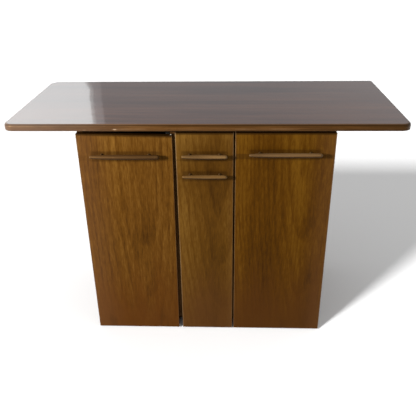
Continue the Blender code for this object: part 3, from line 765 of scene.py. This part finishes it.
# colour of the painted highlight at a pull bar's right tip
TIP_HIGHLIGHT = linear(186, 156, 118)
BARE_WOOD = linear(188, 160, 130)
WORKTOP_PORE = linear(30, 16, 12)
EDGE_PORE = linear(34, 20, 10)
EDGE_SEAM = linear(40, 24, 8)
# colour of the painted highlight along the slab edge's top arris
EDGE_ARRIS_HIGHLIGHT = linear(112, 90, 74)
# colour of the painted highlight along the middle of the slab's edge
EDGE_MID_HIGHLIGHT = linear(130, 102, 72)
# colour of the painted shade toward the bottom of the slab's edge
EDGE_LOW_SHADE = linear(44, 26, 12)
EDGE_LOW = linear(92, 72, 56)
# colour of the painted reflection toward the slab edge's left end
EDGE_LEFT_SHEEN = linear(98, 82, 72)
FRONT_SHEEN = linear(255, 190, 96)
WARM_SHEEN = linear(255, 205, 140)
FIBRE_FLECK = linear(60, 38, 24)
METAL_SPECK = linear(52, 38, 28)
METAL_WEAR = 0.12
# Painted shade behind each pull bar, and the dark band beyond its tips
PULL_SHADE_DROP = 0.0056
PULL_SHADE_CORE = 0.0125
PULL_SHADE_REACH = 0.0205
PULL_SHADE_STRENGTH = 0.52
TIP_BAND_DROP = 0.0110
TIP_BAND_CORE = 0.0085
TIP_BAND_BLUR = 0.0015
PULL_SHADE_FADE = 0.008
# Painted shade of the slab along the fronts' top edges
TOP_SHADE_CORE = 0.0016
TOP_SHADE_REACH = 0.0080
TOP_SHADE_STRENGTH = 0.86
LEFT_DOOR_LOW, LEFT_DOOR_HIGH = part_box("left_door")
RIGHT_DOOR_LOW, RIGHT_DOOR_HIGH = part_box("right_door")
MIDDLE_LOW, MIDDLE_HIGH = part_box("drawer_front")
LEFT_DOOR_SAG = 0.0067
LEFT_DOOR_LEAN = -LEFT_DOOR_SAG / (LEFT_DOOR_HIGH.x - LEFT_DOOR_LOW.x)
LEFT_DOOR_EDGE = (LEFT_DOOR_HIGH.z - LEFT_DOOR_LEAN * LEFT_DOOR_LOW.x, LEFT_DOOR_LEAN)

# Each front: bands are (x, half width, change of tone) and heights the same up the front, haze is (x where
# it is full, x where it ends, strength), arris_highlights are painted highlights on the upright edges
# (x at the floor, lean, width, strength), fall darkens the front toward the floor as painted shade, and
# pulls and top place painted shade round the pulls and under the slab
FRONT_LOOKS = {
    "left": dict(
        name="left_door_veneer", seed=2,
        palette=palette(*WOOD_SHADES, LEFT_FOOT, gain=0.87, tint=(0.95, 1.0, 0.98)),
        figure=1.0, heart=(-0.205, 0.78), slope=-0.02,
        bands=(
            (-0.186, 0.036, -0.06), (-0.275, 0.050, 0.01), (-0.140, 0.026, 0.03), (-0.345, 0.060, -0.11),
        ),
        heights=((0.720, 0.080, 0.08),), fall=(-0.03, 0.05), foot=0.85, flame=0.5,
        haze=(-0.385, -0.270, 0.22), pulls=(("left_door", 0.16, 0.16),), top=LEFT_DOOR_EDGE,
        arris_highlights=((LEFT_DOOR_LOW.x, 0.0, 0.0030, 0.30), (LEFT_DOOR_HIGH.x - 0.0048, 0.0067, 0.0026, 0.15)),
    ),
    "middle": dict(
        name="middle_veneer", seed=5,
        palette=palette(*WOOD_SHADES, MIDDLE_FOOT, gain=0.80, tint=(0.92, 1.02, 0.98)),
        figure=0.75, heart=(0.03, 0.95), slope=0.03,
        bands=((-0.078, 0.060, 0.16), (0.026, 0.052, -0.16), (0.078, 0.018, 0.05)),
        heights=((0.745, 0.080, 0.14), (0.585, 0.150, -0.15)), fall=(-0.02, 0.10), foot=0.80,
        flame=0.15, haze=(0.095, 0.060, 0.10),
        pulls=(("drawer", 0.10, 0.10), ("pullout", 0.14, 0.10)), top=(MIDDLE_HIGH.z, 0.0),
        arris_highlights=((MIDDLE_LOW.x, 0.0, 0.0032, 0.48), (MIDDLE_HIGH.x, 0.0, 0.0028, 0.22)),
    ),
    "right": dict(
        name="right_door_veneer", seed=9,
        palette=palette(*WOOD_SHADES, RIGHT_FOOT, gain=0.70, tint=(0.96, 0.94, 0.42)),
        figure=0.90, heart=(0.30, 0.85), slope=0.02,
        bands=(
            (0.105, 0.040, 0.11), (0.150, 0.030, -0.07), (0.195, 0.055, -0.16), (0.285, 0.048, 0.15),
            (0.338, 0.020, -0.08), (0.376, 0.016, 0.10),
        ),
        heights=((0.745, 0.070, 0.09),), fall=(-0.10, 0.12), foot=0.85, flame=0.2,
        haze=(0.395, 0.300, 0.20), pulls=(("right_door", 0.46, 0.20),), top=(RIGHT_DOOR_HIGH.z, 0.0),
        arris_highlights=((RIGHT_DOOR_LOW.x, 0.0, 0.0028, 0.32), (RIGHT_DOOR_HIGH.x, 0.0, 0.0034, 0.45)),
    ),
}
PULL_SHADES = ((60, 38, 18), (96, 68, 38), (126, 96, 60))
CASE_SHADES = ((40, 24, 10), (72, 46, 20), (96, 64, 32))
BOX_SHADES = ((150, 112, 72), (186, 150, 104), (206, 174, 128))

# Each pull: gain, tint, dullness at its left end, dullness at its right end, strength of the painted
# highlight at its right tip
PULL_LOOKS = {
    "left_door": (0.70, (1.0, 1.0, 1.0), 0.0, 0.52, 0.0),
    "right_door": (1.02, (0.96, 1.04, 1.20), 0.36, 0.0, 0.26),
    "drawer": (1.46, (0.97, 1.10, 1.20), 0.42, 0.0, 0.45),
    "pullout": (1.02, (1.0, 1.04, 0.95), 0.30, 0.06, 0.20),
}


def pull_material(index, name):
    """Wood of one pull: each bar has its own tone, darker ends, and its painted shade and highlight."""
    gain, tint, *wear = PULL_LOOKS[name]
    shades = palette(*PULL_SHADES, gain=gain, tint=tint)
    bar = (*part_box(f"{name}_pull_bar"), *wear)
    return make_plain_wood(f"{name}_pull_wood", "X", 31 + index, shades, (0.32, 0.46), 0.22, 0.18, bar)


# Plain woods: material's name, grain, seed, shades, roughness from and to, specular level, depth of the rings
PLAIN_WOODS = {
    "slab_underside": ("slab_underside_wood", "X", 29, palette(*CASE_SHADES, gain=0.8), (0.50, 0.66), 0.2),
    # the posts are a darker copy of the pull wood: painted shade behind the bars
    "post": ("post_wood", "Y", 37, palette(*PULL_SHADES, gain=0.42), (0.38, 0.52), 0.15, 0.18),
    "case_upright": ("case_wood_upright", "Z", 41, palette(*CASE_SHADES), (0.42, 0.60), 0.2),
    "case_level": ("case_wood_level", "X", 43, palette(*CASE_SHADES), (0.42, 0.60), 0.2),
    # the front rail is darkened as painted shade in the gap under the slab
    "case_painted_shade": ("case_wood_stained", "X", 45, palette(*CASE_SHADES, gain=0.28), (0.50, 0.66), 0.12),
    "box_side": ("box_wood_long", "Y", 47, palette(*BOX_SHADES), (0.48, 0.66), 0.3, 0.12),
    "box_across": ("box_wood_across", "X", 53, palette(*BOX_SHADES), (0.48, 0.66), 0.3, 0.12),
}
MATERIALS = {
    **{f"{side}_front": make_front_wood(look) for side, look in FRONT_LOOKS.items()},
    "worktop": make_worktop_wood(),
    "slab_edge": make_slab_edge_wood(),
    **{f"{name}_pull": pull_material(index, name) for index, name in enumerate(PULL_LOOKS)},
    **{key: make_plain_wood(*look) for key, look in PLAIN_WOODS.items()},
    "hardboard": make_hardboard(),
    "steel": make_metal("plated_steel", linear(188, 178, 158), 0.34),
    "screw": make_metal("screw_steel", linear(196, 190, 176), 0.30),
    "pole_plate": make_metal("pole_plate_steel", linear(58, 55, 50), 0.55),
    "screw_recess": make_metal("screw_recess_steel", linear(52, 48, 42), 0.5),
    "catch": make_plastic("catch_plastic_black", linear(20, 19, 18), linear(14, 13, 12), 0.60, 0.10),
    "glide": make_plastic("glide_plastic_dark", linear(70, 66, 62), linear(54, 50, 46), 0.46),
}

CAD_LOOKS = {
    "left_front": ("left_door",),
    "middle_front": ("drawer_front", "pullout_front"),
    "right_front": ("right_door",),
    "case_upright": ("left_side", "right_side", "left_partition", "right_partition"),
    "case_level": ("cabinet_floor", "rear_rail", "left_shelf", "right_shelf"),
    # front rail in the dark painted-shade wood
    "case_painted_shade": ("front_rail",),
    "box_side": tuple(
        f"{name}_{part}"
        for name in ("drawer", "pullout")
        for part in ("left_side", "right_side", "runner_left", "runner_right")
    ),
    "box_across": ("drawer_back", "pullout_back"),
    "hardboard": ("back_panel", "drawer_bottom", "pullout_bottom"),
    "steel": tuple(
        f"{side}_{level}_hinge_{part}"
        for side in ("left", "right")
        for level in ("lower", "upper")
        for part in ("cabinet_leaf", "door_leaf", "pin")
    ) + ("left_catch_strike", "right_catch_strike"),
}


# -------- worktop


def slab_outline(low, high, inset):
    """Points round the slab, counter-clockwise from above, inset from its outer edge.

    Points have equal numbers at every inset, so the rings can be joined."""
    corners = (
        ("front_left", Vector((low.x, low.y)), 180),
        ("front_right", Vector((high.x, low.y)), 270),
        ("back_right", Vector((high.x, high.y)), 0),
        ("back_left", Vector((low.x, high.y)), 90),
    )
    points = []
    for index, (name, corner, start) in enumerate(corners):
        radius = SLAB_CORNERS[name]
        inward = Vector((1 if corner.x < 0 else -1, 1 if corner.y < 0 else -1))
        centre = corner + inward * radius
        for step in range(SLAB_CORNER_STEPS + 1):
            angle = math.radians(start + 90 * step / SLAB_CORNER_STEPS)
            reach = radius - inset
            points.append(centre + Vector((math.cos(angle), math.sin(angle))) * reach)
        if index == 0:
            last = points[-1].x
            end = high.x - SLAB_CORNERS["front_right"]
            points.extend(Vector((x, low.y + inset)) for x in front_stations(last, end))
    return points


def front_stations(start, end):
    """X of the points along the front edge: closer together at each chip."""
    count = int((end - start) / SLAB_STATION)
    stations = {round(start + (end - start) * i / count, 5) for i in range(1, count)}
    for chip_x, _z, reach, _depth, _pale in CHIPS:
        steps = int(1.6 * reach / CHIP_STATION)
        stations |= {round(chip_x + CHIP_STATION * i, 5) for i in range(-steps, steps + 1)}
    return sorted(stations)


def chip_push(point):
    """How far a point of the front edge is knocked in by the chips."""
    push = 0.0
    for chip_x, chip_z, reach, depth, _pale in CHIPS:
        along = (point.x - chip_x) / reach
        up = (point.z - chip_z) / (0.28 * reach)
        fall = max(0.0, 1.0 - along * along - up * up)
        ripple = 0.75 + 0.25 * math.sin(point.x * 3100.0 + point.z * 5300.0)
        push = max(push, depth * fall * ripple)
    return push


def build_slab(bm):
    """Slab with rounded rims and corners. Materials: the top, the edge all round, the underside."""
    low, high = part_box("table_top")
    levels = [(SLAB_LOWER_ROUND + SLAB_FLAT_MARGIN, low.z)]
    quarter = [math.pi / 2 * step / SLAB_ROUND_STEPS for step in range(SLAB_ROUND_STEPS + 1)]
    for angle in quarter:
        inset = SLAB_LOWER_ROUND * (1 - math.sin(angle))
        levels.append((inset, low.z + SLAB_LOWER_ROUND * (1 - math.cos(angle))))
    rise = high.z - low.z - SLAB_LOWER_ROUND - SLAB_UPPER_ROUND
    steps = round(rise / SLAB_FLAT_STEP)
    levels.extend((0.0, low.z + SLAB_LOWER_ROUND + rise * step / steps) for step in range(1, steps))
    for angle in quarter:
        inset = SLAB_UPPER_ROUND * (1 - math.cos(angle))
        levels.append((inset, high.z - SLAB_UPPER_ROUND * (1 - math.sin(angle))))
    levels.append((SLAB_UPPER_ROUND + SLAB_FLAT_MARGIN, high.z))
    rings = []
    for inset, z in levels:
        ring = [Vector((p.x, p.y, z)) for p in slab_outline(low, high, inset)]
        for point in ring:
            if point.y < 0:
                point.y += chip_push(point)
        rings.append(ring)
    skin(bm, rings)
    for face in bm.faces:
        z = face.calc_center_median().z
        if z < low.z + SLAB_SKIN:
            face.material_index = 2
        elif z < high.z - SLAB_SKIN:
            face.material_index = 1


# -------- pulls


def build_bar(bm, low, high):
    """Turned spindle with small rounded tips, its left end slimmer than its right."""
    middle = (low + high) / 2
    half = (high.x - low.x) / 2
    radius = (high.z - low.z) / 2
    profile = []
    for step in range(PULL_STATIONS + 1):
        u = -1 + 2 * step / PULL_STATIONS
        u = math.sin(u * math.pi / 2)
        taper, tip = (PULL_LEFT_TAPER, PULL_LEFT_TIP) if u < 0 else (PULL_RIGHT_TAPER, PULL_RIGHT_TIP)
        body = radius * (1 - taper * abs(u) ** PULL_TAPER_POWER)
        from_end = half * (1 - abs(u))
        if from_end < tip:
            round_off = 1 - from_end / tip
            round_share = math.sqrt(max(0.0, 1 - round_off**2)) * PULL_TIP_BLUNT
            body *= round_share + (1 - PULL_TIP_BLUNT) * (1 - round_off**3)
        profile.append((half * u, max(body, PULL_THINNEST)))
    turned(bm, (middle.x, middle.y, middle.z), (1, 0, 0), profile, PULL_SIDES)


def build_post(bm, low, high):
    """Turned post with a small collar where it meets the front."""
    middle = (low + high) / 2
    length = high.y - low.y
    profile = (
        (0.0, POST_RADIUS * 0.96),
        (length * 0.45, POST_RADIUS * 0.90),
        (length - 0.0042, POST_RADIUS * 0.98),
        (length - 0.0026, POST_COLLAR * 0.90),
        (length - 0.0018, POST_COLLAR),
        (length - 0.0008, POST_COLLAR),
        (length + 0.0002, POST_COLLAR * 0.93),
    )
    turned(bm, (middle.x, low.y, middle.z), (0, 1, 0), profile, POST_SIDES)


def make_pulls():
    for body in PULL_LOOKS:
        jobs = [("turned_pull", "pull_bar", build_bar, f"{body}_pull")]
        jobs += [(f"turned_post_{i}", f"pull_post_{i}", build_post, "post") for i in (1, 2)]
        for name, part, build, material in jobs:
            node = f"{body}_{part}"
            low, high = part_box(node)
            new_piece(
                f"{body}_{name}", lambda bm: build(bm, low, high), (material,), body, (node,)
            )


# -------- small fittings


def hinge_screw_places(side, part):
    """Centres of the screws in the leaves of both hinges on one side."""
    places = []
    for level in ("lower", "upper"):
        low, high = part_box(f"{side}_{level}_hinge_pin")
        inward = 1 if side == "left" else -1
        x = (low.x + high.x) / 2 + inward * HINGE_SCREW_OFFSET
        face = HINGE_LEAF_FACE if part == "cabinet_leaf" else -HINGE_LEAF_FACE
        y = (low.y + high.y) / 2 + face
        z = (low.z + high.z) / 2
        for step in (-1, 0, 1):
            places.append(Vector((x, y, z + step * HINGE_SCREW_SPREAD)))
    return places


def make_hinge_screws():
    cabinet = hinge_screw_places("left", "cabinet_leaf") + hinge_screw_places("right", "cabinet_leaf")
    jobs = (
        ("cabinet_hinge_screws", cabinet, (0, -1, 0), "table"),
        ("left_door_hinge_screws", hinge_screw_places("left", "door_leaf"), (0, 1, 0), "left_door"),
        ("right_door_hinge_screws", hinge_screw_places("right", "door_leaf"), (0, 1, 0), "right_door"),
    )
    for name, places, normal, body in jobs:
        def build(bm):
            for place in places:
                screw_head(bm, place, normal, HINGE_SCREW_HEAD, HINGE_SCREW_RISE)

        new_piece(name, build, ("screw", "screw_recess"), body)


def make_strike_screw():
    """The domed screw that holds the left strike's flange to the top of the door."""
    low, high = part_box("left_catch_strike")
    place = Vector((high.x - STRIKE_SCREW_INSET, low.y + STRIKE_SCREW_SETBACK, high.z))

    def build(bm):
        screw_head(bm, place, (0, 0, 1), STRIKE_SCREW_HEAD, STRIKE_SCREW_RISE)

    new_piece("left_strike_screw", build, ("screw", "screw_recess"), "left_door")


def make_back_nails():
    low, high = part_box("back_panel")
    width = high.x - low.x - 2 * NAIL_MARGIN
    height = high.z - low.z - 2 * NAIL_MARGIN
    across = round(width / NAIL_SPACING)
    up = round(height / NAIL_SPACING)
    places = []
    for i in range(across + 1):
        x = low.x + NAIL_MARGIN + width * i / across
        places.extend(((x, low.z + NAIL_MARGIN), (x, high.z - NAIL_MARGIN)))
    for i in range(1, up):
        z = low.z + NAIL_MARGIN + height * i / up
        places.extend(((low.x + NAIL_MARGIN, z), (high.x - NAIL_MARGIN, z)))

    def build(bm):
        for x, z in places:
            turned(bm, (x, high.y, z), (0, 1, 0), NAIL_PROFILE, NAIL_SIDES)

    new_piece("back_panel_nails", build, ("screw",), "table")


def make_glides():
    for place in ("front_left", "front_right", "rear_left", "rear_right"):
        node = f"glide_{place}"
        low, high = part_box(node)
        radius = (high.x - low.x) / 2
        middle = (low + high) / 2
        profile = [(height, radius * share) for height, share in (*GLIDE_PROFILE, (high.z, 0.98))]

        def build(bm):
            turned(bm, (middle.x, middle.y, 0.0), (0, 0, 1), profile, GLIDE_SIDES)

        new_piece(f"glide_turned_{place}", build, ("glide",), "table", (node,))


def pair_of_boxes(bm, low, high, half, spread, inset, bevel):
    """Two small boxes side by side in the face of a catch."""
    middle = (low + high) / 2
    for sign in (-1, 1):
        centre = Vector((middle.x + sign * spread, low.y + inset, middle.z))
        box(bm, centre - Vector(half), centre + Vector(half), bevel, 1)


def make_catches():
    for side in ("left", "right"):
        node = f"{side}_catch_body"
        low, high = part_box(node)

        def build_case(bm):
            box(bm, low + Vector((0, CATCH_FACE_INSET, 0)), high, CATCH_ROUND, 3)
            pair_of_boxes(bm, low, high, *CATCH_RIBS)

        new_piece(f"{side}_catch_case", build_case, ("catch",), "table", (node,))
        new_piece(
            f"{side}_catch_pole_plates", lambda bm: pair_of_boxes(bm, low, high, *CATCH_PLATES),
            ("pole_plate",), "table",
        )


# -------- stage


def make_camera():
    forward = -toward(CAMERA_YAW, CAMERA_PITCH)
    level = Vector((math.cos(CAMERA_YAW), -math.sin(CAMERA_YAW), 0.0))
    above = level.cross(forward)
    right = level * math.cos(CAMERA_ROLL) + above * math.sin(CAMERA_ROLL)
    up = above * math.cos(CAMERA_ROLL) - level * math.sin(CAMERA_ROLL)
    data = bpy.data.cameras.new("camera")
    data.lens = CAMERA_LENS
    data.sensor_width = SENSOR_WIDTH
    camera = add_object("camera", data)
    turn = Matrix((right, up, -forward)).transposed().to_4x4()
    camera.matrix_world = Matrix.Translation(CAMERA_PLACE) @ turn
    bpy.context.scene.camera = camera


def make_floor():
    bm = bmesh.new()
    bmesh.ops.create_circle(bm, cap_ends=True, radius=FLOOR_RADIUS, segments=96)
    mesh = bpy.data.meshes.new("studio_floor")
    bm.to_mesh(mesh)
    bm.free()
    graph = Graph("studio_floor")
    seen, bounced = ((grey, grey, grey, 1.0) for grey in (FLOOR_ALBEDO, FLOOR_BOUNCE))
    colour = graph.mix(graph.add("ShaderNodeLightPath").outputs["Is Diffuse Ray"], seen, bounced)
    graph.set(Base_Color=colour, Roughness=0.9, Specular_IOR_Level=0.0)
    mesh.materials.append(graph.material)
    floor = add_object("studio_floor", mesh)
    return floor


def make_card(name, y, left, right, glow, fall, tint, edge=()):
    """An upright glowing card behind the table that only glossy surfaces see.

    It is brighter higher up, and by fall at its right side. edge shapes the right side: (z, step along x)."""
    outline = [(left, y, CARD_TOP), (left, y, 0.0)]
    outline.extend((right + step, y, z) for z, step in ((0.0, edge[0][1] if edge else 0.0), *edge))
    outline.append((right, y, CARD_TOP))
    mesh = bpy.data.meshes.new(name)
    mesh.from_pydata(outline, [], [tuple(range(len(outline)))])
    graph = Graph(name, "ShaderNodeEmission")
    x, _y, height = graph.axes(graph.place)
    upward = graph.levels(height, CARD_LOW_Z, CARD_HIGH_Z, *glow, smooth=False)
    across = graph.levels(x, left, right, 1.0, fall, smooth=False)
    graph.set(Color=tint, Strength=graph.times(upward, across))
    mesh.materials.append(graph.material)
    card = add_object(name, mesh)
    card.visible_camera = False
    card.visible_diffuse = False
    card.visible_shadow = False


def card_edge(azimuth):
    """X where a sight line of that azimuth from the camera meets the cards' plane."""
    return CAMERA_PLACE.x + (CARD_Y - CAMERA_PLACE.y) * math.tan(azimuth)


def toward(azimuth, elevation):
    """Unit vector toward a lamp or the camera: azimuth is measured to the left of the front."""
    return Vector((
        -math.sin(azimuth) * math.cos(elevation),
        -math.cos(azimuth) * math.cos(elevation),
        math.sin(elevation),
    ))


def add_lamp(name, data, direction, place, floor, state):
    """A lamp that lights the floor alone (state INCLUDE) or all but the floor (EXCLUDE)."""
    lamp = add_object(name, data)
    lamp.location = place
    lamp.rotation_mode = "QUATERNION"
    lamp.rotation_quaternion = direction.to_track_quat("Z", "Y")
    linked = bpy.data.collections.new(name + "_receivers")
    linked.objects.link(floor)
    lamp.light_linking.receiver_collection = linked
    linked.collection_objects[0].light_linking.link_state = state


def make_light(floor):
    sun = bpy.data.lights.new("floor_key", "SUN")
    sun.energy = FLOOR_KEY_STRENGTH
    sun.angle = FLOOR_KEY_ANGLE
    direction = toward(FLOOR_KEY_AZIMUTH, FLOOR_KEY_ELEVATION)
    add_lamp("floor_key", sun, direction, 5.0 * direction, floor, "INCLUDE")
    panel = bpy.data.lights.new("key", "AREA")
    panel.shape = "RECTANGLE"
    panel.size = KEY_WIDTH
    panel.size_y = KEY_HEIGHT
    panel.energy = KEY_POWER
    panel.color = KEY_COLOUR
    direction = toward(KEY_AZIMUTH, KEY_ELEVATION)
    add_lamp("key", panel, direction, KEY_TARGET + KEY_DISTANCE * direction, floor, "EXCLUDE")


def make_cards():
    """The window, the bright rim of its curtain and the wall beside it."""
    edge = card_edge(CARD_EDGE_AZIMUTH)
    start = edge - STRIP_OVERLAP
    cards = (
        ("window_card", edge - CARD_WIDTH, edge, CARD_GLOW, 1.0, WINDOW_TINT, CURTAIN_EDGE),
        ("curtain_fringe", start, edge + FRINGE_WIDTH, FRINGE_GLOW, FRINGE_FALL, WINDOW_TINT, FRINGE_EDGE),
        ("wall_strip", start, card_edge(STRIP_EDGE_AZIMUTH), STRIP_GLOW, STRIP_FALL, STRIP_TINT),
    )
    for place, (name, *look) in enumerate(cards):
        make_card(name, CARD_Y + CARD_STEP * place, *look)


def make_world():
    """White behind the floor's edge; a softer glow, stronger to the right, for everything else."""
    world = bpy.data.worlds.new("studio")
    bpy.context.scene.world = world
    world.use_nodes = True
    nodes = NodeTree(world.node_tree)
    ray = nodes.add("ShaderNodeLightPath").outputs
    side = nodes.axes(nodes.add("ShaderNodeTexCoord").outputs["Generated"])["X"]
    glow = nodes.levels(side, *STUDIO_GLOW_SPAN, STUDIO_GLOW, STUDIO_GLOW_RIGHT)
    tint = nodes.mix(ray["Is Glossy Ray"], WHITE, REFLECTED_TINT)
    studio = nodes.add("ShaderNodeBackground", tint, glow).outputs[0]
    backdrop = nodes.add("ShaderNodeBackground", WHITE, BACKDROP_GLOW).outputs[0]
    both = nodes.add("ShaderNodeMixShader", ray["Is Camera Ray"], studio, backdrop).outputs[0]
    nodes.add("ShaderNodeOutputWorld", both)


# -------- the scene

smoothing = make_smoothing_group()
for look, names in CAD_LOOKS.items():
    for node_name in names:
        dress_cad_node(node_name, MATERIALS[look], smoothing)

new_piece(
    "worktop_slab", build_slab, ("worktop", "slab_edge", "slab_underside"),
    "table", ("table_top",),
)
make_pulls()
make_hinge_screws()
make_strike_screw()
make_back_nails()
make_glides()
make_catches()

make_camera()
make_light(make_floor())
make_cards()
make_world()
bpy.context.scene.view_settings.view_transform = "Standard"
